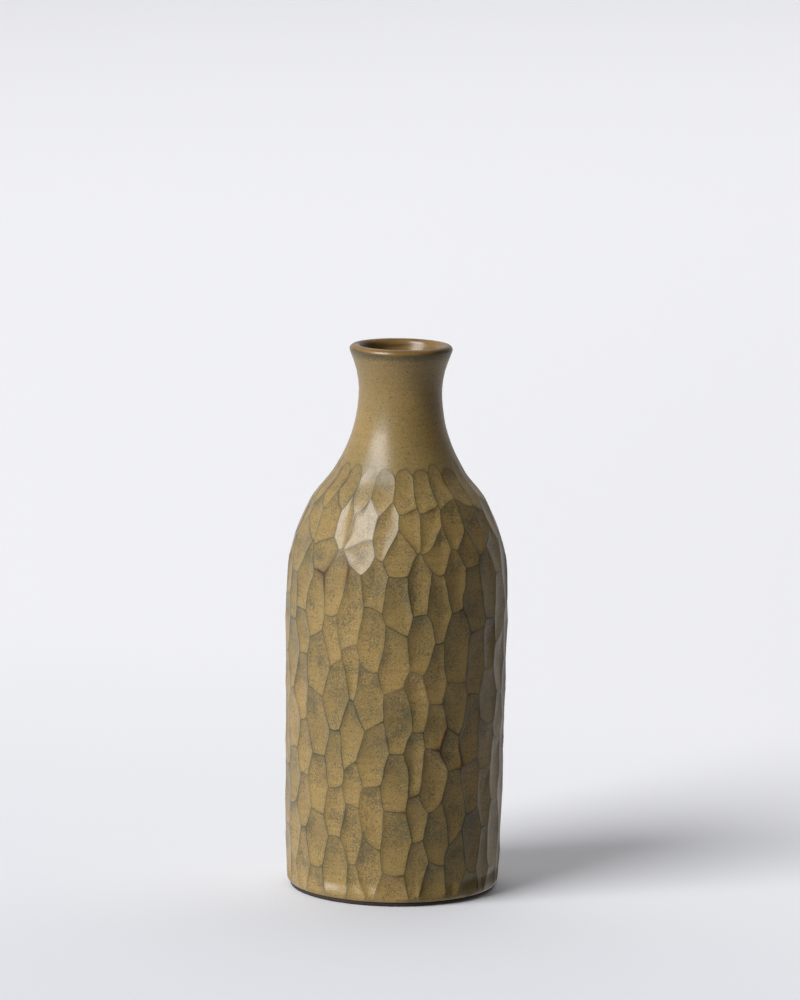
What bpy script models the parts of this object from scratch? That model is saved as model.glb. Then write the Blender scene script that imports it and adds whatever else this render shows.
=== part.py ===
"""A hand-carved stoneware sake bottle: the clay body, the glaze outside and the liner glaze inside.

Metres, +Z up. The origin is the middle of the foot, on the surface that the bottle stands on.
The wall is first a turned outline, then every stroke of the carving tool takes a shallow scoop from it.
"""

import math
import random

import bmesh
import bpy
from mathutils import Vector, noise

MM = 0.001
FULL_TURN = 2 * math.pi

# The turned outline of the glazed wall before it is carved, as (radius, height) in mm.
# It runs up the outside, over the lip and down the bore of the neck to where the liner glaze takes over.
WALL_OUTLINE = (
    (35.35, 1.4),  # lower edge of the glaze, on the rounding of the foot
    (36.2, 5.4),
    (36.85, 25.0),
    (37.2, 60.0),
    (37.7, 97.0),  # widest, just under the shoulder
    (36.25, 115.5),
    (29.85, 132.0),
    (21.1, 144.0),
    (15.85, 156.0),
    (14.0, 168.0),  # narrowest
    (14.8, 176.0),
    (17.0, 182.4),
)
LIP_OUTLINE = (
    (17.3, 183.7),
    (16.6, 184.7),
    (15.5, 185.0),
    (14.4, 184.9),
    (13.6, 184.2),
    (13.1, 182.6),
)
BORE_OUTLINE = (
    (11.7, 177.0),
    (11.0, 170.0),
    (11.0, 166.0),
)
# The clay of the hollow inside, from under the bore down to the middle of the floor, in mm.
CAVITY_OUTLINE = (
    (12.2, 158.0),
    (16.6, 148.0),
    (25.2, 134.0),
    (31.6, 116.0),
    (33.2, 97.0),
    (32.7, 60.0),
    (32.3, 20.0),
    (29.8, 9.5),
    (22.0, 6.6),
    (10.0, 6.2),
    (0.0, 6.0),
)
# The bare clay under the glaze edge, down to the foot ring and across the recess under the floor, in mm.
FOOT_OUTLINE = (
    (34.9, 0.6),
    (34.3, 0.0),
    (28.4, 0.0),
    (27.6, 0.5),
    (26.6, 1.5),
    (0.0, 1.7),
)

GLAZE = 0.5 * MM  # thickness of a glaze coat
GAP = 0.3 * MM  # clear space that keeps two layers from touching

COLUMNS = 32  # columns of strokes round the body, every second one half a stroke higher
STROKES_IN_COLUMN = 7  # one fewer in the columns that start higher
STROKE_PITCH = 19.3 * MM  # from one stroke to the next, up the wall
FIRST_STROKE = 2.0 * MM  # from the glaze edge to the middle of the lowest stroke
SHOULDER_ROWS = (  # middle of the row along the wall, strokes in it, share of the body's straying
    (128.2 * MM, 26, 0.8),
    (140.0 * MM, 23, 0.35),
)
FADE_OUT = 1.6 * MM  # from the glaze edge to where the scoops have their full depth
TOP_OF_CARVING = 146.3 * MM  # along the wall, where the ridges of the top row end
STROKE_ASPECT = 2.5  # a stroke's length to its width on the body
SHOULDER_ASPECT = 1.75  # the same on the shoulder, where the strokes are shorter
SHOULDER = 113.0 * MM  # along the wall, where the shoulder begins
STRAYS_UP = 0.17  # how far a stroke may stray along its column, as a share of the pitch
STRAYS_ACROSS = 0.2  # how far it may stray from its column, as a share of the column's width
UNEVEN_WEIGHT = 9 * MM * MM  # how much more one stroke may take from its neighbours than another
SCOOP_DEPTH = 0.72 * MM
UNEVEN_DEPTH = 0.25  # how far a scoop's depth may differ from that, as a share of it
OFF_CENTRE = 0.14  # how far its deepest point may stray, as a share of the scoop's size
ARCH_HEIGHTS = (2.4 * MM, 4.6 * MM)  # how far the rounded tops of the top row reach above the ridges
RIDGE_DIP = 0.14 * MM  # how far the lowest places of a ridge lie under the turned wall
FOOT_SCOOP = 0.8  # depth of the lowest scoops where they run out to the foot, as a share of their depth
PITCH_RADIUS = 37.0 * MM  # radius at which a stroke's width is measured
REACH = 26 * MM  # a stroke is cut only by neighbours nearer than this
SEED = 11

SPLINE_STEPS = 8
NECK_RINGS, LIP_RINGS, BORE_RINGS = 7, 7, 3
LEVELLING_RINGS = 3  # rings over which the uneven top of the carving levels out into the turned neck
FOOT_RING = 0.4  # place of the ring between the glaze edge and the carving, as a share of the way up
WELD = 0.01 * MM
SHARP = math.radians(50)  # edges sharper than this are not shaded smooth
LINER_STEPS = 48


def catmull_rom(points, steps):
    """Points of a smooth curve through the given ones, with that many steps between each pair."""
    knots = [Vector(p) for p in points]
    knots = [2 * knots[0] - knots[1], *knots, 2 * knots[-1] - knots[-2]]
    curve = []
    for a, b, c, d in zip(knots, knots[1:], knots[2:], knots[3:]):
        for step in range(steps):
            t = step / steps
            bend = (2 * a - 5 * b + 4 * c - d) * t**2 + (3 * b - a - 3 * c + d) * t**3
            curve.append(0.5 * (2 * b + (c - a) * t + bend))
    return [*curve, knots[-2]]


class Outline:
    """A smooth outline of radius and height, which can be asked for a place at any length along it."""

    def __init__(self, points_mm):
        self.points = [p * MM for p in catmull_rom(points_mm, SPLINE_STEPS)]
        self.lengths = [0.0]
        for a, b in zip(self.points, self.points[1:]):
            self.lengths.append(self.lengths[-1] + (b - a).length)

    def at(self, length, raised=0.0):
        """Radius and height at that length, raised from the surface along its outward normal."""
        last = len(self.points) - 2
        k = min(last, max(0, sum(1 for x in self.lengths if x <= length) - 1))
        a, b = self.points[k], self.points[k + 1]
        share = (length - self.lengths[k]) / (self.lengths[k + 1] - self.lengths[k])
        before, after = self.points[max(0, k - 1)], self.points[min(last + 1, k + 2)]
        along = (b - before).normalized().lerp((after - a).normalized(), share).normalized()
        outward = Vector((along.y, -along.x))
        return a.lerp(b, share) + raised * outward


WALL = Outline(WALL_OUTLINE + LIP_OUTLINE + BORE_OUTLINE)


def unrolled(along):
    """Height on the unrolled wall, drawn shorter so that strokes are as long as they are wide."""
    return min(along, SHOULDER) / STROKE_ASPECT + max(0.0, along - SHOULDER) / SHOULDER_ASPECT


def along_wall(y):
    """Length along the wall from the glaze edge, of a height on the unrolled wall."""
    turn = SHOULDER / STROKE_ASPECT
    return min(y, turn) * STROKE_ASPECT + max(0.0, y - turn) * SHOULDER_ASPECT


def stroke_places():
    """(x, y, weight) of every stroke on the unrolled wall; a heavier one takes more from its neighbours."""
    dice = random.Random(SEED)
    around = FULL_TURN * PITCH_RADIUS

    def stroke(across, up, width, strays):
        across += strays * dice.uniform(-STRAYS_ACROSS, STRAYS_ACROSS) * width
        up += strays * dice.uniform(-STRAYS_UP, STRAYS_UP) * STROKE_PITCH
        return (across, unrolled(up), strays * dice.uniform(-UNEVEN_WEIGHT, UNEVEN_WEIGHT))

    places = []
    width = around / COLUMNS
    for column in range(COLUMNS):
        lowest = FIRST_STROKE + 0.5 * STROKE_PITCH * (column % 2)
        for k in range(STROKES_IN_COLUMN - column % 2):
            places.append(stroke(column * width, lowest + k * STROKE_PITCH, width, 1.0))
    for row, (up, count, strays) in enumerate(SHOULDER_ROWS):
        width = around / count
        places += [stroke((i + 0.5 * (row % 2)) * width, up, width, strays) for i in range(count)]
    return places


def clipped(polygon, normal, limit):
    """The part of a convex polygon on the near side of a line."""
    kept = []
    for a, b in zip(polygon, polygon[1:] + polygon[:1]):
        over_a, over_b = normal.dot(a) - limit, normal.dot(b) - limit
        if over_a <= 0:
            kept.append(a)
        if over_a * over_b < 0:
            kept.append(a.lerp(b, over_a / (over_a - over_b)))
    return kept


def stroke_cells():
    """The outline that each stroke keeps after its neighbours are cut, on the unrolled wall."""
    places = stroke_places()
    around = FULL_TURN * PITCH_RADIUS
    low, high = unrolled(FADE_OUT), unrolled(TOP_OF_CARVING)
    copies = [(x + turn * around, y, w) for x, y, w in places for turn in (-1, 0, 1)]
    for x, y, weight in places:
        here = Vector((x, y))
        left, right = x - REACH, x + REACH
        cell = [Vector(corner) for corner in ((left, low), (right, low), (right, high), (left, high))]
        for other_x, other_y, other_weight in copies:
            step = Vector((other_x, other_y)) - here
            if 0 < step.length < REACH:
                near = (step.length_squared + weight - other_weight) / 2
                cell = clipped(cell, step, near + step.dot(here))
        yield cell, low, high


def ridge_height(point):
    """Ridges dip a little, differently from place to place, and alike on both sides of each."""
    angle = point.x / PITCH_RADIUS
    spot = Vector((4 * math.cos(angle), 4 * math.sin(angle), point.y / (6 * MM)))
    return -RIDGE_DIP * (0.5 + 0.5 * noise.noise(spot))


def bordered(cell, low, high, arch):
    """The cell's border as (x, y, height): arched under the smooth shoulder, scooped at the foot."""
    border = []
    for a, b in zip(cell, cell[1:] + cell[:1]):
        on_top = min(a.y, b.y) > high - WELD
        on_foot = max(a.y, b.y) < low + WELD
        border.append((a.x, a.y, 0.0 if a.y > high - WELD else ridge_height(a)))
        if on_top and a.x - b.x > MM:
            border.append(((a.x + b.x) / 2, high + arch / SHOULDER_ASPECT, 0.0))
        if on_foot and b.x - a.x > MM:
            border.append(((a.x + b.x) / 2, low, -FOOT_SCOOP * SCOOP_DEPTH))
    return border


def on_wall(x, y, height, below):
    """The point in space of a place on the unrolled wall, at a depth below the glazed surface."""
    angle = x / PITCH_RADIUS
    radius, up = WALL.at(along_wall(y), height - below)
    return (radius * math.cos(angle), radius * math.sin(angle), up)


def stroke_borders():
    """(border, deepest place, depth) of every scoop, on the unrolled wall."""
    dice = random.Random(SEED + 1)
    for cell, low, high in stroke_cells():
        arch = dice.uniform(*ARCH_HEIGHTS)
        depth = SCOOP_DEPTH * (1 + dice.uniform(-UNEVEN_DEPTH, UNEVEN_DEPTH))
        border = bordered(cell, low, high, arch)
        middle = []
        for axis in (0, 1):
            values = [point[axis] for point in border]
            stray = dice.uniform(-OFF_CENTRE, OFF_CENTRE) * (max(values) - min(values))
            middle.append(sum(values) / len(values) + stray)
        yield border, middle, depth


BORDERS = list(stroke_borders())


def columns(pick):
    """The border points that a test picks, once each, in order round the bottle."""
    around = FULL_TURN * PITCH_RADIUS
    found = {}
    for border, _, _ in BORDERS:
        for x, y, height in border:
            if pick(y):
                found.setdefault(round((x % around) / WELD) % round(around / WELD), (x % around, y, height))
    return [found[key] for key in sorted(found)]


def carved_faces(below):
    """Each scoop as a fan of triangles round its deepest point, shallower where the bottle is slimmer."""
    for border, middle, depth in BORDERS:
        slimmer = WALL.at(along_wall(middle[1]))[0] / PITCH_RADIUS
        deepest = on_wall(*middle, -depth * slimmer, below)
        for a, b in zip(border, border[1:] + border[:1]):
            yield [deepest, on_wall(*a, below), on_wall(*b, below)]


def band_faces(rings):
    """Faces between rings of points, each ring above the one before it, closing to a fan on the axis."""
    for lower, upper in zip(rings, rings[1:]):
        for k in range(len(lower)):
            n = (k + 1) % len(lower)
            face = [lower[k], lower[n], upper[n], upper[k]]
            yield [p for i, p in enumerate(face) if p != face[i - 1]]


def turned(columns_at, outline):
    """Rings of points at the columns' angles, one for each (radius, height) of an outline."""
    rings = []
    for radius, up in outline:
        angles = [x / PITCH_RADIUS for x, _, _ in columns_at]
        rings.append([(radius * math.cos(a), radius * math.sin(a), up) for a in angles])
        if radius == 0:
            rings[-1] = [(0.0, 0.0, up)] * len(angles)
    return rings


def smooth_rings(columns_at, below):
    """Rings from the top of the carving over the neck and the lip to the end of the glaze in the bore."""
    end = WALL.lengths[-1]
    neck = WALL.lengths[SPLINE_STEPS * (len(WALL_OUTLINE) - 1)]
    bore = WALL.lengths[SPLINE_STEPS * (len(WALL_OUTLINE) + len(LIP_OUTLINE) - 1)]
    stations = [TOP_OF_CARVING]
    for stretch_end, count in ((neck, NECK_RINGS), (bore, LIP_RINGS), (end, BORE_RINGS)):
        start = stations[-1]
        stations += [start + (stretch_end - start) * (k + 1) / count for k in range(count)]
    rings = []
    for index, station in enumerate(stations):
        uneven = max(0.0, 1 - index / LEVELLING_RINGS)
        ring = []
        for x, y, _ in columns_at:
            length = station + (along_wall(y) - TOP_OF_CARVING) * uneven
            ring.append(on_wall(x, unrolled(length), 0.0, below))
        rings.append(ring)
    return rings


def foot_rings(columns_at, below):
    """Rings from the glaze edge up to the carving, with the scoops running out towards the edge."""
    low = unrolled(FADE_OUT)
    rings = []
    for share in (0.0, FOOT_RING, 1.0):
        rings.append([on_wall(x, low * share, height * share, below) for x, _, height in columns_at])
    return rings


def glazed_surface(below):
    """Every face of the glazed wall at a depth below its surface, and its two open edges."""
    top_columns = columns(lambda y: y > unrolled(TOP_OF_CARVING) - WELD)
    foot_columns = columns(lambda y: y < unrolled(FADE_OUT) + WELD)
    foot, neck = foot_rings(foot_columns, below), smooth_rings(top_columns, below)
    faces = [*carved_faces(below), *band_faces(foot), *band_faces(neck)]
    return faces, foot[0], neck[-1], foot_columns, top_columns


def offset_path(outline, distance):
    """A plain (radius, height) path moved along its normal, with its end on the axis kept there."""
    moved = []
    for k, (radius, up) in enumerate(outline):
        before, after = outline[max(0, k - 1)], outline[min(len(outline) - 1, k + 1)]
        along = (Vector(after) - Vector(before)).normalized()
        moved.append((0.0 if radius == 0 else radius + distance * along.y, up - distance * along.x))
    return moved


def new_object(name, faces, material):
    """One closed mesh object from loose faces, welded and shaded smooth."""
    shape = bmesh.new()
    for face in faces:
        if len(face) > 2:
            shape.faces.new([shape.verts.new(p) for p in face])
    bmesh.ops.remove_doubles(shape, verts=shape.verts, dist=WELD)
    bmesh.ops.dissolve_degenerate(shape, edges=shape.edges, dist=WELD)
    mesh = bpy.data.meshes.new(name)
    shape.to_mesh(mesh)
    shape.free()
    mesh.shade_smooth()
    mesh.set_sharp_from_angle(angle=SHARP)
    mesh.materials.append(material)
    bottle_part = bpy.data.objects.new(name, mesh)
    bpy.context.scene.collection.objects.link(bottle_part)
    return bottle_part


def new_material(name, colour, roughness):
    material = bpy.data.materials.new(name)
    material.use_nodes = True
    shader = material.node_tree.nodes["Principled BSDF"]
    shader.inputs["Base Color"].default_value = (*colour, 1.0)
    shader.inputs["Roughness"].default_value = roughness
    shader.inputs["Metallic"].default_value = 0.0
    return material


def stoneware_body():
    """The thrown clay wall: carved outside, hollow inside, standing on a bare trimmed foot ring."""
    faces, glaze_edge, bore_end, foot_columns, top_columns = glazed_surface(GLAZE + GAP)
    cavity = [(r * MM, z * MM) for r, z in CAVITY_OUTLINE]
    foot = [(r * MM, z * MM) for r, z in FOOT_OUTLINE]
    faces += band_faces([bore_end, *turned(top_columns, cavity)])
    faces += band_faces([*turned(foot_columns, foot)[::-1], glaze_edge])
    return new_object("stoneware_body", faces, new_material("bare stoneware", (0.055, 0.036, 0.024), 0.8))


def outer_glaze():
    """The glaze coat outside, over the lip and down the bore, as a thin closed shell."""
    outside, low_edge, bore_edge, _, _ = glazed_surface(0.0)
    inside, low_back, bore_back, _, _ = glazed_surface(GLAZE)
    faces = outside + [face[::-1] for face in inside]
    faces += band_faces([low_back, low_edge])
    faces += band_faces([bore_edge, bore_back])
    return new_object("outer_glaze", faces, new_material("satin ash glaze", (0.235, 0.18, 0.077), 0.38))


def inner_glaze():
    """The liner glaze: a thin shell against the clay of the hollow, open at the neck."""
    clay = [(r * MM, z * MM) for r, z in (BORE_OUTLINE[-1], *CAVITY_OUTLINE)]
    clay[0] = (clay[0][0] + GLAZE + GAP, clay[0][1] - GAP)
    back, front = offset_path(clay, GAP), offset_path(clay, GAP + GLAZE)
    path = [*front[::-1], *back]
    shape = bmesh.new()
    ends = [shape.verts.new((radius, 0.0, up)) for radius, up in path]
    edges = [shape.edges.new(pair) for pair in zip(ends, ends[1:])]
    spin = {"cent": (0, 0, 0), "axis": (0, 0, 1), "angle": FULL_TURN, "steps": LINER_STEPS}
    bmesh.ops.spin(shape, geom=ends + edges, use_merge=True, **spin)
    faces = [[v.co.to_tuple() for v in face.verts] for face in shape.faces]
    shape.free()
    return new_object("inner_glaze", faces, new_material("liner glaze", (0.17, 0.12, 0.05), 0.2))


def main():
    for old in list(bpy.data.objects):
        bpy.data.objects.remove(old)
    stoneware_body()
    outer_glaze()
    inner_glaze()


main()
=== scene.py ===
"""A hand-carved stoneware sake bottle, glazed in satin ash glaze and standing on bare clay.

The glaze coat is built from the same rule as the pot was cut by: a turned outline, then one shallow
scoop for every stroke of the carving tool. Clay and liner glaze are turned pieces inside it.
"""

import math
import random
from bisect import bisect_right

import bmesh
import bpy
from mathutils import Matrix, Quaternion, Vector, noise


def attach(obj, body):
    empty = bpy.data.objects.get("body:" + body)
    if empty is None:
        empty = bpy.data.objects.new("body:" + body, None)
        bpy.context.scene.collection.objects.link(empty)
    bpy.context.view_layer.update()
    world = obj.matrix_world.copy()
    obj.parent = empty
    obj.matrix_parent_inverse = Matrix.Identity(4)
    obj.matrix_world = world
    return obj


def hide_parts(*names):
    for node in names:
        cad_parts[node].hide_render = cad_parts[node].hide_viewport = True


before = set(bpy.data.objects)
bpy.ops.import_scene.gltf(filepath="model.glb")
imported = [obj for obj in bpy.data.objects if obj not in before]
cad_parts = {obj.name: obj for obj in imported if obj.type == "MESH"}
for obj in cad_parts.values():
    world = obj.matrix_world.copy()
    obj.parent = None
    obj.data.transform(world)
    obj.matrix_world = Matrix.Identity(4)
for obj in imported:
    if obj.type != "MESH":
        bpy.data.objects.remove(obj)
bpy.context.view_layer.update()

MM = 0.001
FULL_TURN = 2 * math.pi
WELD = 0.002 * MM  # points nearer than this are one
SNAP = 0.01 * MM  # how near a point counts as lying on an edge of the carving

# ---------------------------------------------------------------- turned outlines, (radius, height) in mm

WALL_OUTLINE = (
    (35.35, 1.4),  # lower edge of the glaze, on the rounding of the foot
    (36.2, 5.4),
    (36.85, 25.0),
    (37.2, 60.0),
    (37.7, 97.0),  # widest, just under the shoulder
    (36.25, 115.5),
    (29.85, 132.0),
    (21.1, 144.0),
    (15.85, 156.0),
    (14.0, 168.0),  # narrowest
    (14.8, 176.0),
    (17.0, 182.4),
)
LIP_OUTLINE = (
    (17.3, 183.7),
    (16.6, 184.7),
    (15.5, 185.0),
    (14.4, 184.9),
    (13.6, 184.2),
    (13.1, 182.6),
)
BORE_OUTLINE = (
    (11.7, 177.0),
    (11.0, 170.0),
    (11.0, 166.0),
)
CAVITY_OUTLINE = (
    (12.2, 158.0),
    (16.6, 148.0),
    (25.2, 134.0),
    (31.6, 116.0),
    (33.2, 97.0),
    (32.7, 60.0),
    (32.3, 20.0),
    (29.8, 9.5),
    (22.0, 6.6),
    (10.0, 6.2),
    (0.0, 6.0),
)
CLAY_FOOT = (  # the underside and the trimmed ring, from the axis out and up to the glaze edge
    (0.0, 1.7),
    (18.0, 1.65),
    (25.6, 1.5),
    (26.9, 1.2),
    (27.6, 0.5),
    (28.3, 0.06),
    (28.7, 0.0),
    (31.5, 0.0),
    (34.0, 0.0),
    (34.5, 0.12),
    (34.72, 0.5),
    (34.7, 1.1),
    (34.6, 1.6),
)
CLAY_UNDER_GLAZE = ((34.5, 2.2), (34.45, 4.0), (35.0, 8.0))  # the lowest clay that the glaze covers
CLAY_LIP = ((16.1, 183.3), (15.5, 183.8), (14.9, 183.6), (14.4, 182.8))
CLAY_BORE = ((12.8, 177.0), (12.1, 170.0), (12.0, 165.0))
BODY_INSET, NECK_INSET = 1.5, 1.0  # how deep the clay lies under the turned wall: the scoops need the more
LINER_TOP = (11.8, 165.7)  # on the clay, just under the end of the outer coat
LINER_GAP, LINER_THICKNESS = 0.3, 0.5
FINE_STEPS = 24  # steps of the wall's curve between two points of its outline
CLAY_CURVE_STEPS, LINER_CURVE_STEPS = 5, 6
CLAY_STEPS, LINER_STEPS = 160, 96  # steps round the bottle
SHARP = math.radians(50)

# ---------------------------------------------------------------- the strokes of the carving tool

GLAZE = 0.5 * MM  # thickness of a glaze coat
COLUMNS = 32  # columns of strokes round the body, every second one half a stroke higher
STROKES_IN_COLUMN = 7  # one fewer in the columns that start higher
STROKE_PITCH = 19.3 * MM  # from one stroke to the next, up the wall
FIRST_STROKE = 2.0 * MM  # from the glaze edge to the middle of the lowest stroke
SHOULDER_ROWS = (  # middle of the row along the wall, strokes in it, share of the body's straying
    (128.2 * MM, 26, 0.8),
    (140.0 * MM, 23, 0.35),
)
FADE_OUT = 1.6 * MM  # from the glaze edge to where the scoops have their full depth
TOP_OF_CARVING = 146.3 * MM  # along the wall, where the ridges of the top row end
STROKE_ASPECT = 2.5  # a stroke's length to its width on the body
SHOULDER_ASPECT = 1.75  # the same on the shoulder, where the strokes are shorter
SHOULDER = 113.0 * MM  # along the wall, where the shoulder begins
STRAYS_UP = 0.17  # how far a stroke may stray along its column, as a share of the pitch
STRAYS_ACROSS = 0.2  # how far it may stray from its column, as a share of the column's width
UNEVEN_WEIGHT = 9 * MM * MM  # how unevenly neighbours share the wall between them
REACH = 26 * MM  # strokes further apart than this never meet
SCOOP_DEPTH = 0.72 * MM
UNEVEN_DEPTH = 0.25  # how far a scoop's depth may stray, as a share of it
OFF_CENTRE = 0.14  # how far the deepest point of a scoop may stray, as a share of its size
ARCH_HEIGHTS = (2.4 * MM, 4.6 * MM)  # how far the top row is rounded over its upper corners
RIDGE_DIP = 0.14 * MM  # how far the lowest places of a ridge lie under the turned wall
RIDGE_SAG = 0.1 * MM  # how much lower a ridge is halfway between its corners
FOOT_SCOOP = 0.8  # depth of the lowest scoops where they run out to the foot, as a share of their depth
PITCH_RADIUS = 37.0 * MM  # radius at which a stroke's width is measured
AROUND = FULL_TURN * PITCH_RADIUS
SEED = 11

BORDER_STEP = 1.5 * MM  # spacing of points along the border of a scoop
SCOOP_RINGS = (0.93, 0.76, 0.5, 0.24)  # rings inside a scoop, as shares of the way out to its border
SAG = 0.05  # how far a scoop's lower end sags between its corners, as a share of its width
UNEVEN_SAG = 0.26  # how far that may stray, as a share of the width too
HAND_WOBBLE = 4.5 * MM  # how widely the hand strays from the plan
SWING_LENGTH = 15 * MM  # how far the hand travels before it strays the other way
SWING_SHAPE = (1.0, 1.6, 0.0)  # it strays more along the wall than across it
SWING_FADE = 12 * MM  # height over the glaze edge below which it strays less
LEVELLING = 9 * MM  # height over which the uneven top of the carving levels out into the turned neck
LEVELLING_STEPS, NECK_STEPS, LIP_STEPS, BORE_STEPS = 8, 10, 18, 6
FOOT_SHARES = (1.0, 0.75, 0.5, 0.3, 0.2, 0.12, 0.06, 0.02, 0.0)  # rows of points from the carving down
ROLLED_HEIGHT, ROLLED_DEPTH = 0.9 * MM, 0.45 * MM  # the rounding of the glaze edge at the foot


def catmull_rom(points, steps):
    """Points of a smooth curve through the given ones, with that many steps between each pair."""
    knots = [Vector(p) for p in points]
    knots = [2 * knots[0] - knots[1], *knots, 2 * knots[-1] - knots[-2]]
    curve = []
    for a, b, c, d in zip(knots, knots[1:], knots[2:], knots[3:]):
        for step in range(steps):
            t = step / steps
            bend = 2 * a - 5 * b + 4 * c - d
            twist = 3 * b - a - 3 * c + d
            curve.append(0.5 * (2 * b + (c - a) * t + bend * t**2 + twist * t**3))
    return [*curve, knots[-2]]


def path_lengths(points):
    """Length along a path to each of its points."""
    lengths = [0.0]
    for a, b in zip(points, points[1:]):
        lengths.append(lengths[-1] + (b - a).length)
    return lengths


def wall_station(index):
    """Length along the wall, from the glaze edge to one of the outline's points."""
    return WALL_LENGTHS[FINE_STEPS * index]


WALL_POINTS = [p * MM for p in catmull_rom(WALL_OUTLINE + LIP_OUTLINE + BORE_OUTLINE, FINE_STEPS)]
WALL_LENGTHS = path_lengths(WALL_POINTS)
LIP_START = wall_station(len(WALL_OUTLINE) - 1)
LIP_END = wall_station(len(WALL_OUTLINE) + len(LIP_OUTLINE) - 1)
WALL_END = WALL_LENGTHS[-1]


def unrolled(along):
    """Height on the unrolled wall, drawn shorter so that strokes are as long as they are wide."""
    return min(along, SHOULDER) / STROKE_ASPECT + max(0.0, along - SHOULDER) / SHOULDER_ASPECT


def along_wall(y):
    """Length along the wall from the glaze edge, of a height on the unrolled wall."""
    turn = SHOULDER / STROKE_ASPECT
    return min(y, turn) * STROKE_ASPECT + max(0.0, y - turn) * SHOULDER_ASPECT


def stroke_places():
    """(x, y, weight) of every stroke on the unrolled wall; a heavier one takes more from its neighbours."""
    dice = random.Random(SEED)

    def stroke(across, up, width, strays):
        across += strays * dice.uniform(-STRAYS_ACROSS, STRAYS_ACROSS) * width
        up += strays * dice.uniform(-STRAYS_UP, STRAYS_UP) * STROKE_PITCH
        return (across, unrolled(up), strays * dice.uniform(-UNEVEN_WEIGHT, UNEVEN_WEIGHT))

    places = []
    width = AROUND / COLUMNS
    for column in range(COLUMNS):
        lowest = FIRST_STROKE + 0.5 * STROKE_PITCH * (column % 2)
        for k in range(STROKES_IN_COLUMN - column % 2):
            places.append(stroke(column * width, lowest + k * STROKE_PITCH, width, 1.0))
    for row, (up, count, strays) in enumerate(SHOULDER_ROWS):
        width = AROUND / count
        places += [stroke((i + 0.5 * (row % 2)) * width, up, width, strays) for i in range(count)]
    return places


def clipped(polygon, normal, limit):
    """The part of a convex polygon on the near side of a line."""
    kept = []
    for a, b in zip(polygon, polygon[1:] + polygon[:1]):
        over_a, over_b = normal.dot(a) - limit, normal.dot(b) - limit
        if over_a <= 0:
            kept.append(a)
        if over_a * over_b < 0:
            kept.append(a.lerp(b, over_a / (over_a - over_b)))
    return kept


def stroke_cells():
    """The outline that each stroke keeps after its neighbours are cut, on the unrolled wall."""
    places = stroke_places()
    low, high = unrolled(FADE_OUT), unrolled(TOP_OF_CARVING)
    copies = [(x + turn * AROUND, y, w) for x, y, w in places for turn in (-1, 0, 1)]
    for x, y, weight in places:
        here = Vector((x, y))
        cell = [Vector((x + a, b)) for a, b in ((-REACH, low), (REACH, low), (REACH, high), (-REACH, high))]
        for other_x, other_y, other_weight in copies:
            step = Vector((other_x, other_y)) - here
            if 0 < step.length < REACH:
                near = (step.length_squared + weight - other_weight) / 2
                cell = clipped(cell, step, near + step.dot(here))
        yield cell, low, high


def spot_on_cylinder(x, y):
    """A place in noise space, 9 mm of the wall to one step across and 6 mm to one up, closed once round."""
    angle = x / PITCH_RADIUS
    return Vector((4 * math.cos(angle), 4 * math.sin(angle), y / (6 * MM)))


def ridge_height(point):
    """Ridges dip a little, differently from place to place, and alike on both sides of each."""
    return -RIDGE_DIP * (0.5 + 0.5 * noise.noise(spot_on_cylinder(*point)))


# ---------------------------------------------------------------- the unrolled wall, as a flat net of faces
#
# A point of the net is (length round the pitch circle, length along the wall, height above the turned wall).


class Net:
    """Faces of the unrolled wall, with what the carving needs to know about each."""

    def __init__(self):
        self.points = []
        self.rise = []
        self.faces = []
        self.middles = []
        self.depths = []
        self.known = {}

    def point(self, x, along, rise):
        """The index of a point, which is made the first time that it is asked for."""
        key = (round(x / WELD), round(along / WELD))
        if key not in self.known:
            self.known[key] = len(self.points)
            self.points.append((x, along, 0.0))
            self.rise.append(rise)
        return self.known[key]

    def face(self, corners, middle=(0.0, 0.0, 0.0), depth=0.0):
        """Adds a face, unless its corners fall together; a scoop has a depth and the place of its middle."""
        indices = [self.point(*corner) for corner in corners]
        indices = [i for k, i in enumerate(indices) if i != indices[k - 1]]
        if len(indices) > 2:
            self.faces.append(indices)
            self.middles.append(middle)
            self.depths.append(depth)

    def mesh(self, name):
        """The net as a flat mesh with its attributes."""
        mesh = bpy.data.meshes.new(name)
        mesh.from_pydata(self.points, [], self.faces)
        mesh.attributes.new("rise", "FLOAT", "POINT").data.foreach_set("value", self.rise)
        mesh.attributes.new("depth", "FLOAT", "FACE").data.foreach_set("value", self.depths)
        flat_middles = [value for middle in self.middles for value in middle]
        mesh.attributes.new("middle", "FLOAT_VECTOR", "FACE").data.foreach_set("vector", flat_middles)
        return mesh


def stepped(a, b):
    """Evenly spaced points from a up to b, without b, the same from either end."""
    steps = max(1, round((b - a).length / BORDER_STEP))
    return [a.lerp(b, k / steps) for k in range(steps)]


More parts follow.
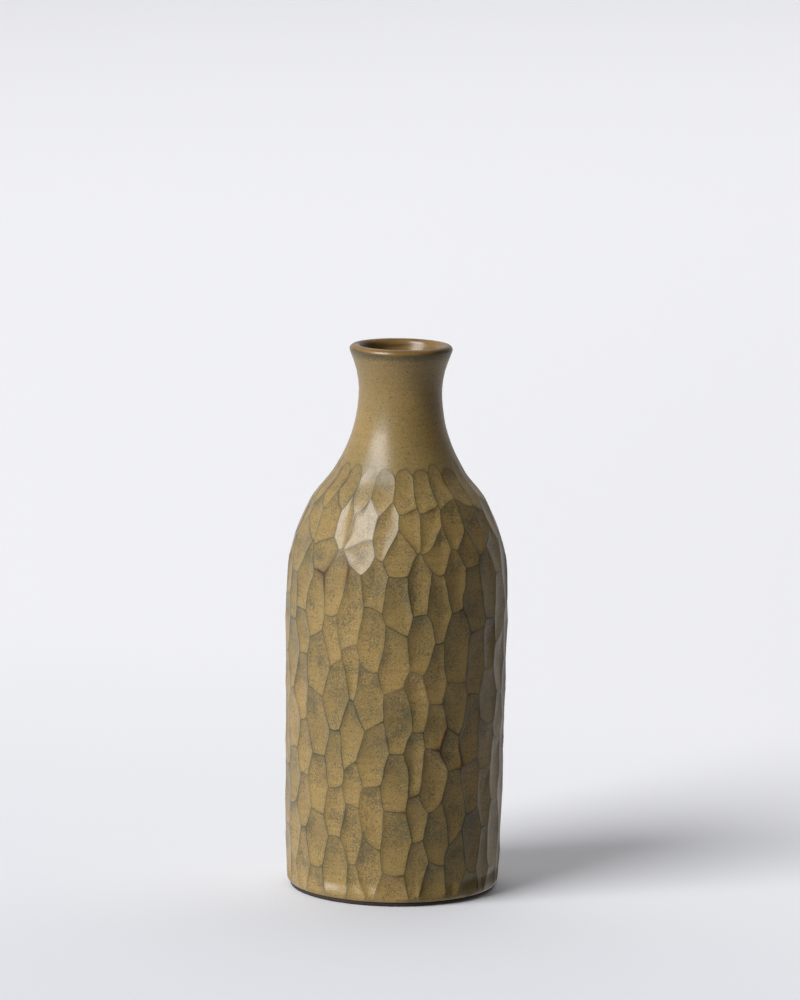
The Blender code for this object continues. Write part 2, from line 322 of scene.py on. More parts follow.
def cell_border(cell, low, high, arch):
    """The border of one scoop as (x, along, rise): arched under the smooth shoulder, scooped at the foot."""
    border = []
    for a, b in zip(cell, cell[1:] + cell[:1]):
        on_top = min(a.y, b.y) > high - SNAP and a.x - b.x > MM
        on_foot = max(a.y, b.y) < low + SNAP and b.x - a.x > MM
        flat_a, flat_b = (Vector((p.x, along_wall(p.y))) for p in (a, b))
        length = (flat_b - flat_a).length
        sagging = SAG + UNEVEN_SAG * noise.noise(spot_on_cylinder(*a.lerp(b, 0.5)))
        sag = sagging * abs(flat_b.x - flat_a.x) if not (on_top or on_foot) else 0.0
        for p in stepped(flat_a, flat_b):
            share = (p - flat_a).length / length if length else 0.0
            bulge = 4 * share * (1 - share)
            rise = ridge_height(a.lerp(b, share)) - RIDGE_SAG * bulge
            if a.y > high - SNAP and (share == 0 or on_top):
                rise = 0.0
            if on_foot:
                rise = min(rise, 0.0) - FOOT_SCOOP * SCOOP_DEPTH * bulge
            moved = arch * math.sqrt(bulge) if on_top else -sag * bulge
            border.append((p.x, p.y + moved, rise))
    return border


def carved_net():
    """Every scoop, and the columns of the foot and of the neck that meet them."""
    net = Net()
    dice = random.Random(SEED + 1)
    top_edge, foot_edge = {}, {}
    for cell, low, high in stroke_cells():
        arch = dice.uniform(*ARCH_HEIGHTS)
        share = dice.uniform(1 - UNEVEN_DEPTH, 1 + UNEVEN_DEPTH)
        border = cell_border(cell, low, high, arch)
        width = max(p[0] for p in border) - min(p[0] for p in border)
        height = max(p[1] for p in border) - min(p[1] for p in border)
        middle_x = sum(p[0] for p in border) / len(border) + dice.uniform(-OFF_CENTRE, OFF_CENTRE) * width
        middle_y = sum(p[1] for p in border) / len(border) + dice.uniform(-OFF_CENTRE, OFF_CENTRE) * height
        slimmer = wall_radius(middle_y) / PITCH_RADIUS
        net.face(border, (middle_x, middle_y, 0.0), SCOOP_DEPTH * share * slimmer)
        for x, along, rise in border:
            column = x % AROUND
            key = round(column / SNAP)
            if along > TOP_OF_CARVING - 2 * SNAP:
                top_edge[key] = (column, along, rise)
            if along < FADE_OUT + 2 * SNAP:
                foot_edge[key] = (column, along, rise)
    add_columns(net, closed_row(top_edge), neck_stations())
    add_columns(net, closed_row(foot_edge), foot_stations())
    return net


def closed_row(edge):
    """The points of an edge in order round the bottle, ending one turn after the first."""
    row = [edge[key] for key in sorted(edge)]
    if abs(row[-1][0] - AROUND - row[0][0]) < 2 * SNAP:
        row.pop()
    x, along, rise = row[0]
    return [*row, (x + AROUND, along, rise)]


def wall_radius(length):
    """Radius of the turned outline at a length along the wall."""
    k = max(0, min(len(WALL_POINTS) - 2, bisect_right(WALL_LENGTHS, length) - 1))
    share = (length - WALL_LENGTHS[k]) / (WALL_LENGTHS[k + 1] - WALL_LENGTHS[k])
    return WALL_POINTS[k].lerp(WALL_POINTS[k + 1], share).x


def neck_stations():
    """(length along the wall, share of the carving's uneven edge left) from the carving to the bore."""
    levelled = TOP_OF_CARVING + LEVELLING
    stations = [(TOP_OF_CARVING, 1.0)]
    stretches = (
        (TOP_OF_CARVING, levelled, LEVELLING_STEPS),
        (levelled, LIP_START, NECK_STEPS),
        (LIP_START, LIP_END, LIP_STEPS),
        (LIP_END, WALL_END, BORE_STEPS),
    )
    for start, end, steps in stretches:
        for k in range(1, steps + 1):
            along = start + (end - start) * k / steps
            stations.append((along, 1 - k / steps if start == TOP_OF_CARVING else 0.0))
    return stations


def foot_stations():
    """(length along the wall, share of the scoops' depth left) from the carving down to the glaze edge."""
    return [(FADE_OUT * share, share) for share in FOOT_SHARES]


def add_columns(net, row, stations):
    """Quads between one station and the next, over every column of a row."""
    upwards = stations[-1][0] > stations[0][0]
    start = stations[0][0]
    for (s0, left0), (s1, left1) in zip(stations, stations[1:]):
        lower = [(x, s0 + (y - start) * left0, rise * left0) for x, y, rise in row]
        upper = [(x, s1 + (y - start) * left1, rise * left1) for x, y, rise in row]
        for a, b, c, d in zip(lower, lower[1:], upper[1:], upper):
            net.face([a, b, c, d] if upwards else [d, c, b, a])


# ---------------------------------------------------------------- nodes


def live_output(node):
    """A node's first output that is switched on."""
    return next(output for output in node.outputs if output.enabled)


def add_node(tree, kind, *values, **more):
    """Adds a node, where kind is its type and, where it has one, its operation.

    The values fill its live inputs in order. Each of the rest is an input, with _ for a space, or a setting.
    A value is plain, a socket, or a node, whose first live output is meant.
    """
    kind, _, operation = kind.partition(" ")
    node = tree.nodes.new(kind)
    if operation:
        node.operation = operation
    inputs = {}
    for name, value in more.items():
        if name.replace("_", " ") in node.inputs:
            inputs[name.replace("_", " ")] = value
        else:
            setattr(node, name, value)
    live = [socket for socket in node.inputs if socket.enabled]
    filled = [*zip(live, values), *((node.inputs[name], value) for name, value in inputs.items())]
    for socket, value in filled:
        if isinstance(value, bpy.types.Node):
            value = live_output(value)
        if isinstance(value, bpy.types.NodeSocket):
            tree.links.new(value, socket)
        else:
            socket.default_value = value
    return node


MATH, VECTOR = "ShaderNodeMath ", "ShaderNodeVectorMath "
ADD, SUBTRACT, MULTIPLY, DIVIDE = (MATH + name for name in ("ADD", "SUBTRACT", "MULTIPLY", "DIVIDE"))
GREATER, LESS = MATH + "GREATER_THAN", MATH + "LESS_THAN"
SINE, COSINE, ROOT = MATH + "SINE", MATH + "COSINE", MATH + "SQRT"
SCALED_SUM = MATH + "MULTIPLY_ADD"  # first value times the second, plus the third
NAMED, STORE = "GeometryNodeInputNamedAttribute", "GeometryNodeStoreNamedAttribute"
SPLIT, JOIN = "ShaderNodeSeparateXYZ", "ShaderNodeCombineXYZ"
NOISE, BUMP = "ShaderNodeTexNoise", "ShaderNodeBump"
RAMP = "ShaderNodeMapRange"  # value, from, from, to, to: it runs from 0 to 1 where the last two are left out
TINT = "ShaderNodeMix"  # share, colour at 0, colour at 1
RGBA = {"data_type": "RGBA"}


def set_inputs(modifier, values):
    """Sets a Geometry Nodes modifier's inputs by their names, through the sockets' identifiers."""
    for item in modifier.node_group.interface.items_tree:
        if item.item_type == "SOCKET" and item.in_out == "INPUT" and item.name in values:
            modifier[item.identifier] = values[item.name]


def new_geometry_tree(name, inputs):
    """An empty tree with its named inputs, and the sockets at its two ends."""
    tree = bpy.data.node_groups.new(name, "GeometryNodeTree")
    tree.interface.new_socket("Geometry", in_out="INPUT", socket_type="NodeSocketGeometry")
    for label, kind in inputs:
        tree.interface.new_socket(label, in_out="INPUT", socket_type=kind)
    tree.interface.new_socket("Geometry", in_out="OUTPUT", socket_type="NodeSocketGeometry")
    return tree, tree.nodes.new("NodeGroupInput").outputs, tree.nodes.new("NodeGroupOutput").inputs


def plain_mesh(piece):
    """The piece with its modifiers worked out into a plain mesh."""
    bpy.context.view_layer.update()
    evaluated = piece.evaluated_get(bpy.context.evaluated_depsgraph_get())
    mesh = bpy.data.meshes.new_from_object(evaluated)
    piece.modifiers.clear()
    piece.data = mesh
    mesh.name = piece.name
    return piece


# ---------------------------------------------------------------- carving, with Geometry Nodes


def sunk_rings(tree, geometry):
    """Insets every scoop ring by ring; 'inward' is 1 on its border and falls towards its middle."""
    chosen = add_node(tree, GREATER, add_node(tree, NAMED, Name="depth"), 0.0)
    for share in SCOOP_RINGS:
        inset = add_node(tree, "GeometryNodeExtrudeMesh", Mesh=geometry, Selection=chosen, Offset_Scale=0.0)
        chosen = inset.outputs["Top"]
        rings = inset.outputs["Mesh"]
        geometry = add_node(tree, STORE, Geometry=rings, Selection=chosen, Name="inward", Value=share)
    return geometry


def how_far_up(tree, geometry):
    """Stores how far up its own scoop each point lies: -1 at its lower end, 1 at its top, 0 elsewhere."""
    here = add_node(tree, "GeometryNodeInputPosition")
    middle = add_node(tree, NAMED, data_type="FLOAT_VECTOR", Name="middle")
    above = add_node(tree, SPLIT, add_node(tree, VECTOR + "SUBTRACT", here, middle)).outputs["Y"]
    steepness = add_node(tree, DIVIDE, add_node(tree, NAMED, Name="inward"), 0.5 * STROKE_PITCH)
    share = add_node(tree, MULTIPLY, above, steepness)
    scooped = add_node(tree, GREATER, add_node(tree, NAMED, Name="depth"), 0.0)
    up_stroke = add_node(tree, MULTIPLY, share, scooped)
    return add_node(tree, STORE, Geometry=geometry, Name="up_stroke", Value=up_stroke)


def strayed_place(tree, place, wobble):
    """Where the hand really cut: the place, moved by a slow swing that closes once round the bottle."""
    flat = add_node(tree, SPLIT, place).outputs
    angle = add_node(tree, DIVIDE, flat["X"], PITCH_RADIUS)
    across = add_node(tree, MULTIPLY, add_node(tree, COSINE, angle), PITCH_RADIUS)
    deep = add_node(tree, MULTIPLY, add_node(tree, SINE, angle), PITCH_RADIUS)
    round_place = add_node(tree, JOIN, across, deep, flat["Y"])
    swing = add_node(tree, NOISE, Vector=round_place, Scale=1 / SWING_LENGTH, Detail=1.0)
    centred = add_node(tree, VECTOR + "SUBTRACT", swing.outputs["Color"], (0.5, 0.5, 0.5))
    # the swing fades out towards the glaze edge and the neck, which were turned and not cut
    from_foot = add_node(tree, DIVIDE, flat["Y"], SWING_FADE, use_clamp=True)
    room_above = add_node(tree, SUBTRACT, TOP_OF_CARVING + LEVELLING, flat["Y"])
    to_neck = add_node(tree, DIVIDE, room_above, LEVELLING, use_clamp=True)
    reach = add_node(tree, MULTIPLY, add_node(tree, MULTIPLY, from_foot, to_neck), wobble)
    moved = add_node(tree, VECTOR + "SCALE", centred, Scale=reach)
    return add_node(tree, VECTOR + "MULTIPLY_ADD", moved, SWING_SHAPE, place)


def carved_height(tree, inward, along, scale):
    """Height above the turned wall: the border's own, sinking as a shallow bowl to the scoop's middle."""
    squared = add_node(tree, MULTIPLY, inward, inward)
    border = add_node(tree, MULTIPLY, add_node(tree, NAMED, Name="rise"), squared)
    sunk = add_node(tree, SUBTRACT, 1.0, squared)
    bowl = add_node(tree, MULTIPLY, add_node(tree, NAMED, Name="depth"), sunk)
    carved = add_node(tree, SUBTRACT, border, add_node(tree, MULTIPLY, bowl, scale))
    # the glaze edge at the foot rounds back towards the clay in a quarter circle
    near = add_node(tree, SUBTRACT, 1.0, add_node(tree, DIVIDE, along, ROLLED_HEIGHT), use_clamp=True)
    quarter = add_node(tree, ROOT, add_node(tree, SUBTRACT, 1.0, add_node(tree, MULTIPLY, near, near)))
    rolled = add_node(tree, MULTIPLY, add_node(tree, SUBTRACT, quarter, 1.0), ROLLED_DEPTH)
    return add_node(tree, ADD, carved, rolled)


def bent_round(tree, geometry, ports):
    """Shapes the scoops on the flat net and bends it round the turned outline."""
    inward = add_node(tree, NAMED, Name="inward")
    middle = add_node(tree, NAMED, data_type="FLOAT_VECTOR", Name="middle")
    rim = add_node(tree, "GeometryNodeInputPosition")
    flat = add_node(tree, "ShaderNodeMix", inward, middle, rim, data_type="VECTOR")
    place = add_node(tree, SPLIT, strayed_place(tree, flat, ports["Hand Wobble"])).outputs
    height = carved_height(tree, inward, place["Y"], ports["Scoop Scale"])
    outline = add_node(tree, "GeometryNodeObjectInfo", Object=ports["Outline"]).outputs["Geometry"]
    spot = add_node(tree, "GeometryNodeSampleCurve", mode="LENGTH", Curves=outline, Length=place["Y"])
    on_outline = add_node(tree, SPLIT, spot.outputs["Position"]).outputs
    heading = add_node(tree, SPLIT, spot.outputs["Tangent"]).outputs
    radius = add_node(tree, ADD, on_outline["X"], add_node(tree, MULTIPLY, height, heading["Z"]))
    up = add_node(tree, SUBTRACT, on_outline["Z"], add_node(tree, MULTIPLY, height, heading["X"]))
    angle = add_node(tree, DIVIDE, place["X"], PITCH_RADIUS)
    across = add_node(tree, MULTIPLY, radius, add_node(tree, COSINE, angle))
    deep = add_node(tree, MULTIPLY, radius, add_node(tree, SINE, angle))
    bent = add_node(tree, JOIN, across, deep, up)
    geometry = add_node(tree, STORE, data_type="FLOAT_VECTOR", Geometry=geometry, Name="bent", Value=bent)
    geometry = add_node(tree, STORE, Geometry=geometry, Name="along_wall", Value=place["Y"])
    final = add_node(tree, NAMED, data_type="FLOAT_VECTOR", Name="bent")
    return add_node(tree, "GeometryNodeSetPosition", Geometry=geometry, Position=final)


def carving_tree():
    """Net in, carved wall out, with the distance to the nearest ridge stored for the glaze."""
    tree, ports, result = new_geometry_tree(
        "Carved wall",
        [
            ("Outline", "NodeSocketObject"),
            ("Scoop Scale", "NodeSocketFloat"),
            ("Hand Wobble", "NodeSocketFloat"),
            ("Material", "NodeSocketMaterial"),
        ],
    )
    net = add_node(tree, STORE, Geometry=ports["Geometry"], Name="inward", Value=1.0)
    wall = bent_round(tree, how_far_up(tree, sunk_rings(tree, net)), ports)

    plain = add_node(tree, LESS, add_node(tree, NAMED, Name="depth"), 1e-9)
    scoops = add_node(tree, "GeometryNodeDeleteGeometry", domain="FACE", Geometry=net, Selection=plain)
    lines = add_node(tree, "GeometryNodeDeleteGeometry", domain="FACE", mode="ONLY_FACE", Geometry=scoops)
    along = add_node(tree, SPLIT, add_node(tree, "GeometryNodeInputPosition")).outputs["Y"]
    at_foot = add_node(tree, LESS, along, FADE_OUT + SNAP)
    ridges = add_node(tree, "GeometryNodeDeleteGeometry", domain="EDGE", Geometry=lines, Selection=at_foot)
    ridges = bent_round(tree, ridges, ports)
    nearest = add_node(tree, "GeometryNodeProximity", ridges, target_element="EDGES").outputs["Distance"]
    wall = add_node(tree, STORE, Geometry=wall, Name="ridge_distance", Value=nearest)
    closed = add_node(tree, "GeometryNodeMergeByDistance", Geometry=wall, Distance=WELD)
    smooth = add_node(tree, "GeometryNodeSetShadeSmooth", Geometry=closed)
    real = add_node(tree, "GeometryNodeRealizeInstances", Geometry=smooth)
    glazed = add_node(tree, "GeometryNodeSetMaterial", Geometry=real, Material=ports["Material"])
    tree.links.new(live_output(glazed), result["Geometry"])
    return tree


def outline_curve():
    """The turned outline as a curve in the XZ plane, which the carving tree bends the net round."""
    data = bpy.data.curves.new("turned_outline", "CURVE")
    data.dimensions = "3D"
    spline = data.splines.new("POLY")
    spline.points.add(len(WALL_POINTS) - 1)
    for point, (radius, up) in zip(spline.points, WALL_POINTS):
        point.co = (radius, 0.0, up, 1.0)
    guide = bpy.data.objects.new("turned_outline", data)
    bpy.context.scene.collection.objects.link(guide)
    return guide


def new_piece(name, mesh, material=None):
    """An object at the origin that shows the mesh."""
    piece = bpy.data.objects.new(name, mesh)
    bpy.context.scene.collection.objects.link(piece)
    if material:
        mesh.materials.append(material)
    return piece


def carved_glaze(material):
    """The glaze coat: the carved wall, the neck and the lip, as one closed shell."""
    guide = outline_curve()
    coat = new_piece("carved_glaze_coat", carved_net().mesh("carved_glaze_coat"))
    carving = coat.modifiers.new("carving", "NODES")
    carving.node_group = carving_tree()
    sizes = {"Scoop Scale": 1.0, "Hand Wobble": HAND_WOBBLE}
    set_inputs(carving, {"Outline": guide, "Material": material, **sizes})
    shell = coat.modifiers.new("shell", "SOLIDIFY")
    shell.thickness = GLAZE
    shell.offset = -1
    plain_mesh(coat)
    bpy.data.objects.remove(guide)
    return coat


# ---------------------------------------------------------------- turned pieces


def turned_piece(name, outline, material, steps):
    """A piece turned from (radius, height) points in mm that start and end on the axis."""
    shape = bmesh.new()
    ends = [shape.verts.new((max(0.0, radius) * MM, 0.0, up * MM)) for radius, up in outline]
    edges = [shape.edges.new(pair) for pair in zip(ends, ends[1:])]
    turn = {"cent": (0, 0, 0), "axis": (0, 0, 1), "angle": FULL_TURN, "steps": steps, "use_merge": True}
    bmesh.ops.spin(shape, geom=ends + edges, **turn)
    bmesh.ops.remove_doubles(shape, verts=shape.verts, dist=WELD)
    bmesh.ops.dissolve_degenerate(shape, edges=shape.edges, dist=WELD)
    bmesh.ops.recalc_face_normals(shape, faces=shape.faces)
    mesh = bpy.data.meshes.new(name)
    shape.to_mesh(mesh)
    shape.free()
    mesh.shade_smooth()
    mesh.set_sharp_from_angle(angle=SHARP)
    return new_piece(name, mesh, material)


def clay_body(material):
    """The thrown wall under the glaze, its hollow, and the bare trimmed foot."""
    outer = [*CLAY_UNDER_GLAZE, *((r - BODY_INSET, z) for r, z in WALL_OUTLINE[2:8])]
    outer += [(r - NECK_INSET, z) for r, z in WALL_OUTLINE[8:]]
    curve = catmull_rom([*outer, *CLAY_LIP, *CLAY_BORE, *CAVITY_OUTLINE[:-1]], CLAY_CURVE_STEPS)
    outline = [*CLAY_FOOT, *curve, CAVITY_OUTLINE[-1]]
    return turned_piece("thrown_clay_body", outline, material, CLAY_STEPS)


def path_beside(path, distance):
    """A path inwards of one that ends on the axis, and as far from it everywhere."""
    beside = []
    for k, p in enumerate(path):
        along = (path[min(k + 1, len(path) - 1)] - path[max(k - 1, 0)]).normalized()
        beside.append((p.x + distance * along.y, p.y - distance * along.x))
    return [*beside[:-1], (0.0, beside[-1][1])]


def liner_glaze(material):
    """The glaze poured inside: from the end of the outer coat in the bore down to the floor."""
    clay = catmull_rom([LINER_TOP, *CAVITY_OUTLINE], LINER_CURVE_STEPS)
    under, over = (path_beside(clay, distance) for distance in (LINER_GAP, LINER_GAP + LINER_THICKNESS))
    return turned_piece("liner_glaze_coat", [*under[::-1], *over], material, LINER_STEPS)


# ---------------------------------------------------------------- finishes


def linear(hex_colour, alpha=1.0):
    """An sRGB hex colour as the linear values that a shader takes."""
    channels = [int(hex_colour[k : k + 2], 16) / 255 for k in (1, 3, 5)]
    return (*(c / 12.92 if c <= 0.04045 else ((c + 0.055) / 1.055) ** 2.4 for c in channels), alpha)


def new_finish(name):
    """A new material, its tree, its shader, and the place on the piece that its patterns follow."""
    material = bpy.data.materials.new(name)
    material.use_nodes = True
    tree = material.node_tree
    place = add_node(tree, "ShaderNodeTexCoord").outputs["Object"]
    return material, tree, tree.nodes["Principled BSDF"], place


# Azimuth in degrees from the front towards the right, height, and half width of each patch of iron.
IRON_SPOTS = (
    (25.6, 56 * MM, 3.4 * MM),
    (36.6, 51 * MM, 2.6 * MM),
    (-28.5, 114 * MM, 2.4 * MM),
    (-43.0, 111 * MM, 3.0 * MM),
)


def satin_ash_glaze():
    """Satin ash glaze over iron-bearing stoneware, sprayed thin and fired in reduction.

    The eye sees an ochre olive that pools smooth in the hollows, greys to green where it lies thin,
    breaks to a dark line over every ridge and to brown on the lip, and is peppered with iron from the clay.
    The grain, the specks and the lines are drawn about twice as coarse as real ones, so that they show.
    """
    material, tree, shader, place = new_finish("satin_ash_glaze")
    ridge = add_node(tree, "ShaderNodeAttribute", attribute_name="ridge_distance").outputs["Fac"]
    wall = add_node(tree, "ShaderNodeAttribute", attribute_name="along_wall").outputs["Fac"]
    up_stroke = add_node(tree, "ShaderNodeAttribute", attribute_name="up_stroke").outputs["Fac"]

    clouds = add_node(tree, NOISE, place, Scale=1 / (7 * MM), Detail=3.0, Roughness=0.6)
    grain = add_node(tree, NOISE, place, Scale=1 / (0.5 * MM), Detail=2.0, Roughness=0.75)
    drift = add_node(tree, NOISE, place, Scale=1 / (30 * MM), Detail=1.0)
    # faint level streaks that the wheel left, 1 mm apart and a few cm long
    squashed = add_node(tree, VECTOR + "MULTIPLY", place, (0.1, 0.1, 1.0))
    streaks = add_node(tree, NOISE, squashed, Scale=1 / (1.4 * MM), Detail=2.0)

    # the body of the glaze: ochre where it pools, a little greener in broad patches
    patches = add_node(tree, RAMP, drift, 0.38, 0.62)
    colour = add_node(tree, TINT, patches, linear("#a88b55"), linear("#917b4c"), **RGBA)
    # it is lighter and yellower towards the lower end of a stroke, where it ran together
    pooled = add_node(tree, RAMP, up_stroke, 0.1, -0.8, 0.0, 0.45)
    colour = add_node(tree, TINT, pooled, colour, linear("#b0945a"), **RGBA)
    # sandy grain of the raw ash
    sand = add_node(tree, RAMP, grain, 0.36, 0.66, 0.0, 0.55)
    colour = add_node(tree, TINT, sand, colour, linear("#6b5632"), **RGBA)
    streaked = add_node(tree, RAMP, streaks, 0.5, 0.7, 0.0, 0.3)
    colour = add_node(tree, TINT, streaked, colour, linear("#7b6234"), **RGBA)
    # thin, greyer glaze: grainy clusters, mostly towards the top of each stroke
    lean = add_node(tree, SCALED_SUM, up_stroke, 0.1, clouds)
    even_grain = add_node(tree, SUBTRACT, grain, 0.5)
    speckled = add_node(tree, ADD, even_grain, lean)
    amount = add_node(tree, RAMP, wall, TOP_OF_CARVING - 6 * MM, TOP_OF_CARVING + 8 * MM, 0.75, 0.15)
    thin = add_node(tree, MULTIPLY, add_node(tree, RAMP, speckled, 0.46, 0.76), amount)
    colour = add_node(tree, TINT, thin, colour, linear("#55513a"), **RGBA)

    # pepper: iron specks up to half a millimetre wide
    pepper = add_node(tree, "ShaderNodeTexVoronoi", place, Scale=1 / (1.1 * MM), Randomness=1.0)
    chance = add_node(tree, SPLIT, pepper.outputs["Color"]).outputs["X"]
    size = add_node(tree, MULTIPLY, chance, 0.26)
    outside = add_node(tree, SUBTRACT, pepper.outputs["Distance"], size)
    specks = add_node(tree, RAMP, outside, 0.04, -0.06, 0.0, 0.65)
    colour = add_node(tree, TINT, specks, colour, linear("#4a3a22"), **RGBA)

    # the line where the glaze breaks over a ridge, 0.1 to 0.27 mm to each side, grainy, fainter in places
    width = add_node(tree, RAMP, clouds, 0.35, 0.65, 0.1 * MM, 0.27 * MM)
    rough_ridge = add_node(tree, SCALED_SUM, even_grain, 0.8 * MM, ridge)
    widths_off = add_node(tree, DIVIDE, rough_ridge, width)
    line = add_node(tree, RAMP, widths_off, 1.3, 0.1, interpolation_type="SMOOTHSTEP")
    strength = add_node(tree, RAMP, drift, 0.35, 0.6, 0.45, 0.95)
    fading = add_node(tree, RAMP, wall, TOP_OF_CARVING - 6 * MM, TOP_OF_CARVING + 2 * MM, 1.0, 0.3)
    line = add_node(tree, MULTIPLY, add_node(tree, MULTIPLY, line, strength), fading)
    colour = add_node(tree, TINT, line, colour, linear("#303123"), **RGBA)
    # a wider shade beside the ridges, where the glaze drew back
    beside = add_node(tree, RAMP, rough_ridge, 1.4 * MM, 0.2 * MM, 0.0, 0.24)
    beside = add_node(tree, MULTIPLY, add_node(tree, MULTIPLY, beside, fading), fading)
    colour = add_node(tree, TINT, beside, colour, linear("#595539"), **RGBA)

    # iron bled from the clay: red-brown streaks on a few ridges, strongest at the marked spots
    seams = add_node(tree, NOISE, place, Scale=1 / (12 * MM))
    iron = add_node(tree, RAMP, seams, 0.6, 0.72, 0.0, 0.55)
    for azimuth, height, reach in IRON_SPOTS:
        turn = math.radians(azimuth)
        spot = (PITCH_RADIUS * math.sin(turn), -PITCH_RADIUS * math.cos(turn), height)
        off = add_node(tree, VECTOR + "SUBTRACT", place, spot)
        upright = add_node(tree, VECTOR + "MULTIPLY", off, (1.0, 1.0, 0.5))
        far = add_node(tree, VECTOR + "LENGTH", upright).outputs["Value"]
        iron = add_node(tree, MATH + "MAXIMUM", iron, add_node(tree, RAMP, far, 1.3 * reach, 0.6 * reach))
    halo = add_node(tree, MULTIPLY, iron, add_node(tree, RAMP, rough_ridge, 2.6 * MM, 0.2 * MM, 0.0, 0.4))
    colour = add_node(tree, TINT, halo, colour, linear("#64431f"), **RGBA)
    on_ridge = add_node(tree, RAMP, rough_ridge, 0.75 * MM, 0.1 * MM, 0.0, 0.9)
    streak = add_node(tree, MULTIPLY, iron, on_ridge)
    colour = add_node(tree, TINT, streak, colour, linear("#44280f"), **RGBA)

    # the lip: a dark grainy band under it, where the glaze pulled away, and thin brown glaze over it
    ragged = add_node(tree, SCALED_SUM, even_grain, 5.0 * MM, wall)
    under = add_node(tree, RAMP, ragged, LIP_START - 2.0 * MM, LIP_START + 0.5 * MM, 0.0, 0.95)
    colour = add_node(tree, TINT, under, colour, linear("#4c4730"), **RGBA)
    over = add_node(tree, RAMP, ragged, LIP_START + 0.3 * MM, LIP_START + 1.3 * MM)
    thrown_lines = add_node(tree, RAMP, streaks, 0.35, 0.65)
    thrown = add_node(tree, TINT, thrown_lines, linear("#866a3c"), linear("#564226"), **RGBA)
    colour = add_node(tree, TINT, over, colour, thrown, **RGBA)

    tree.links.new(live_output(colour), shader.inputs["Base Color"])
    satin = add_node(tree, RAMP, clouds, 0.3, 0.7, 0.3, 0.38)
    rough = add_node(tree, SUBTRACT, satin, add_node(tree, MULTIPLY, over, 0.07))
    tree.links.new(live_output(rough), shader.inputs["Roughness"])
    shader.inputs["IOR"].default_value = 1.5
    # soft beads just over the foot, where the glaze ran down and gathered, deep enough to catch the light
    gathered = add_node(tree, RAMP, wall, 6.5 * MM, 1.2 * MM, interpolation_type="SMOOTHSTEP")
    height = add_node(tree, MULTIPLY, gathered, drift)
    beads = add_node(tree, BUMP, Strength=1.0, Distance=3.2 * MM, Height=height)
    relief = add_node(tree, SCALED_SUM, streaks, 0.5, grain)
    orange_peel = add_node(tree, BUMP, Strength=0.3, Distance=0.05 * MM, Height=relief, Normal=beads)
    tree.links.new(live_output(orange_peel), shader.inputs["Normal"])
    return material


def gloss_liner_glaze():
    """The same glaze poured thick inside: browner, wetter and glossier than the satin outside."""
    material, tree, shader, place = new_finish("gloss_liner_glaze")
    clouds = add_node(tree, NOISE, place, Scale=1 / (6 * MM), Detail=3.0)
    colour = add_node(tree, TINT, clouds, linear("#6e5530"), linear("#8c7044"), **RGBA)
    tree.links.new(live_output(colour), shader.inputs["Base Color"])
    shader.inputs["Roughness"].default_value = 0.22
    return material


def bare_stoneware():
    """Iron-rich stoneware, trimmed on the wheel and fired bare: dark brown, dry and faintly gritty."""
    material, tree, shader, place = new_finish("bare_stoneware")
    grit = add_node(tree, NOISE, place, Scale=1 / (0.6 * MM), Detail=4.0, Roughness=0.7)
    clouds = add_node(tree, NOISE, place, Scale=1 / (11 * MM), Detail=2.0)
    flame = add_node(tree, TINT, clouds, linear("#281f18"), linear("#3d2e23"), **RGBA)
    colour = add_node(tree, TINT, add_node(tree, RAMP, grit, 0.55, 0.7), flame, linear("#4f3e30"), **RGBA)
    tree.links.new(live_output(colour), shader.inputs["Base Color"])
    shader.inputs["Roughness"].default_value = 0.78
    # turning marks left by the trimming tool, about 0.7 mm apart
    flat = add_node(tree, SPLIT, place).outputs
    squares = [add_node(tree, MULTIPLY, flat[axis], flat[axis]) for axis in ("X", "Y")]
    radius = add_node(tree, ROOT, add_node(tree, ADD, *squares))
    turning = add_node(tree, SINE, add_node(tree, MULTIPLY, radius, FULL_TURN / (0.7 * MM)))
    height = add_node(tree, SCALED_SUM, turning, 0.25, grit)
    marks = add_node(tree, BUMP, Strength=0.5, Distance=0.08 * MM, Height=height)
    tree.links.new(live_output(marks), shader.inputs["Normal"])
    return material


def pale_paper():
    """Seamless studio paper: flat, matt and almost white, with painted shade towards its left front."""
    material, tree, shader, place = new_finish("pale_paper")
    # painted shade: the paper's colour darkens a little towards the left front corner of the table, where
    # less light reaches it
    depth = add_node(tree, VECTOR + "DOT_PRODUCT", place, (0.6, 0.8, 0.0)).outputs["Value"]
    painted_falloff = add_node(tree, RAMP, depth, -0.35, 0.3)
    colour = add_node(tree, TINT, painted_falloff, linear("#ced0d6"), linear("#e2e2e5"), **RGBA)
    tree.links.new(live_output(colour), shader.inputs["Base Color"])
    shader.inputs["Roughness"].default_value = 0.9
    shader.inputs["Specular IOR Level"].default_value = 0.1
    return material


# ---------------------------------------------------------------- the studio


def studio_floor():
    """A wide round sheet; what it would throw back on the bottle is in the room's own light."""
    mesh = bpy.data.meshes.new("studio_floor")
    shape = bmesh.new()
    bmesh.ops.create_circle(shape, cap_ends=True, segments=96, radius=5.0)
    shape.to_mesh(mesh)
    shape.free()
    floor = new_piece("studio_floor", mesh, pale_paper())
    floor.visible_diffuse = False
    floor.visible_glossy = False


def soft_light(name, place, aim, width, height, power):
    """A white panel of light, in metres and watts, that the camera doesn't see."""
    light = bpy.data.lights.new(name, "AREA")
    light.shape = "RECTANGLE"
    light.size, light.size_y = width, height
    light.energy = power
    lamp = bpy.data.objects.new(name, light)
    lamp.location = place
    lamp.rotation_euler = (Vector(aim) - Vector(place)).to_track_quat("-Z", "Y").to_euler()
    lamp.visible_camera = False
    bpy.context.scene.collection.objects.link(lamp)
    return lamp


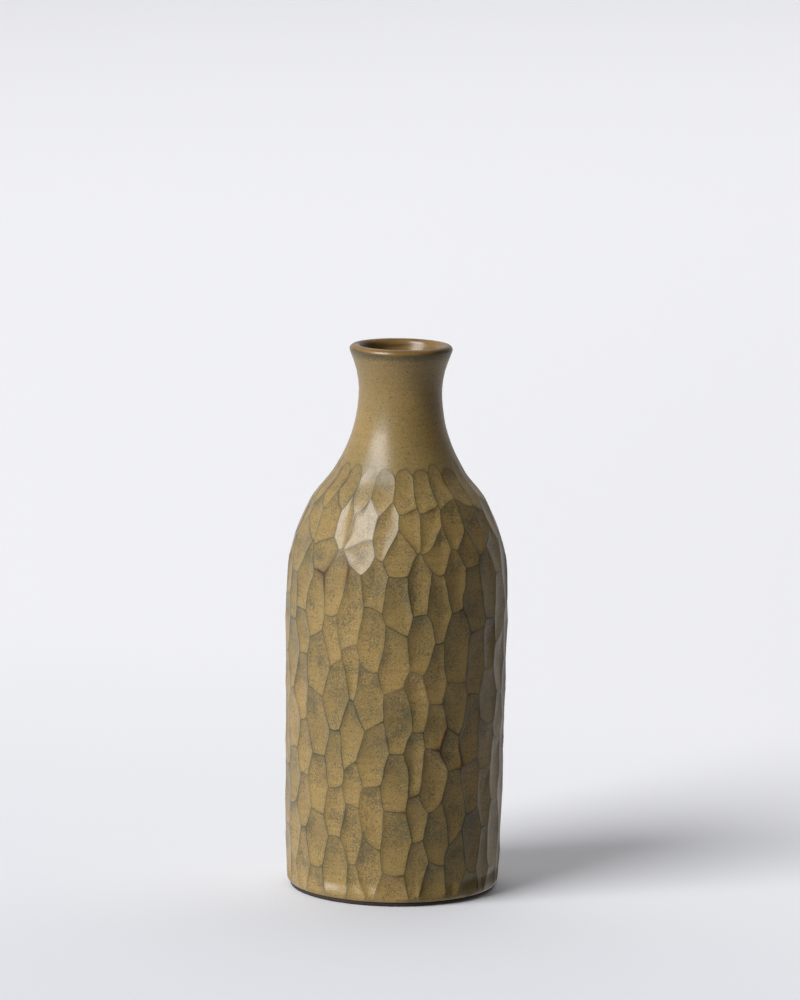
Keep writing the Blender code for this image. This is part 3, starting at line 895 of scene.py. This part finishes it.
def studio_lights():
    """A tall softbox to the left of the camera, and a ceiling panel over the paper behind the bottle."""
    bottle_middle = (0.0, 0.0, 0.1)
    soft_light("softbox", place=(-3.2, -2.5, 3.05), aim=bottle_middle, width=3.0, height=3.5, power=350.0)
    over_paper, on_paper = (0.9, 3.8, 2.6), (0.9, 3.8, 0.0)
    panel = soft_light("ceiling_panel", place=over_paper, aim=on_paper, width=6.0, height=6.0, power=140.0)
    panel.visible_glossy = False
    world = bpy.data.worlds.new("studio_air")
    bpy.context.scene.world = world
    world.use_nodes = True
    tree = world.node_tree
    background = tree.nodes["Background"]
    background.inputs["Color"].default_value = linear("#f4f5fa")
    # the room is brightest low down behind the bottle and to its left, and dark above and behind the camera
    direction = add_node(tree, "ShaderNodeTexCoord").outputs["Generated"]
    facing = add_node(tree, VECTOR + "DOT_PRODUCT", direction, (-0.38, 0.46, -0.8)).outputs["Value"]
    strength = add_node(tree, RAMP, facing, -0.6, 0.9, 0.05, 0.9)
    tree.links.new(live_output(strength), background.inputs["Strength"])


CAMERA_PLACE = (0.00045, -1.8626, 0.4358)
CAMERA_PITCH, CAMERA_ROLL = 0.1616, 0.0168  # down from the level, and to the side, in radians
LENS, SENSOR = 201.9, 36.0


def studio_camera():
    """A long lens from slightly above, as one stands back to photograph a bottle on a table."""
    data = bpy.data.cameras.new("camera")
    data.sensor_width = SENSOR
    data.lens = LENS
    camera = bpy.data.objects.new("camera", data)
    camera.location = CAMERA_PLACE
    camera.rotation_mode = "QUATERNION"
    tilted = Quaternion((1, 0, 0), math.pi / 2 - CAMERA_PITCH)
    camera.rotation_quaternion = tilted @ Quaternion((0, 0, 1), CAMERA_ROLL)
    bpy.context.scene.collection.objects.link(camera)
    bpy.context.scene.camera = camera
    bpy.context.scene.view_settings.view_transform = "Standard"


def dressed(piece, node):
    """The piece rides with the bottle and stands for its CAD node, which is hidden."""
    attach(piece, "root")
    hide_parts(node)


studio_camera()
studio_lights()
studio_floor()
dressed(carved_glaze(satin_ash_glaze()), "outer_glaze")
dressed(clay_body(bare_stoneware()), "stoneware_body")
dressed(liner_glaze(gloss_liner_glaze()), "inner_glaze")
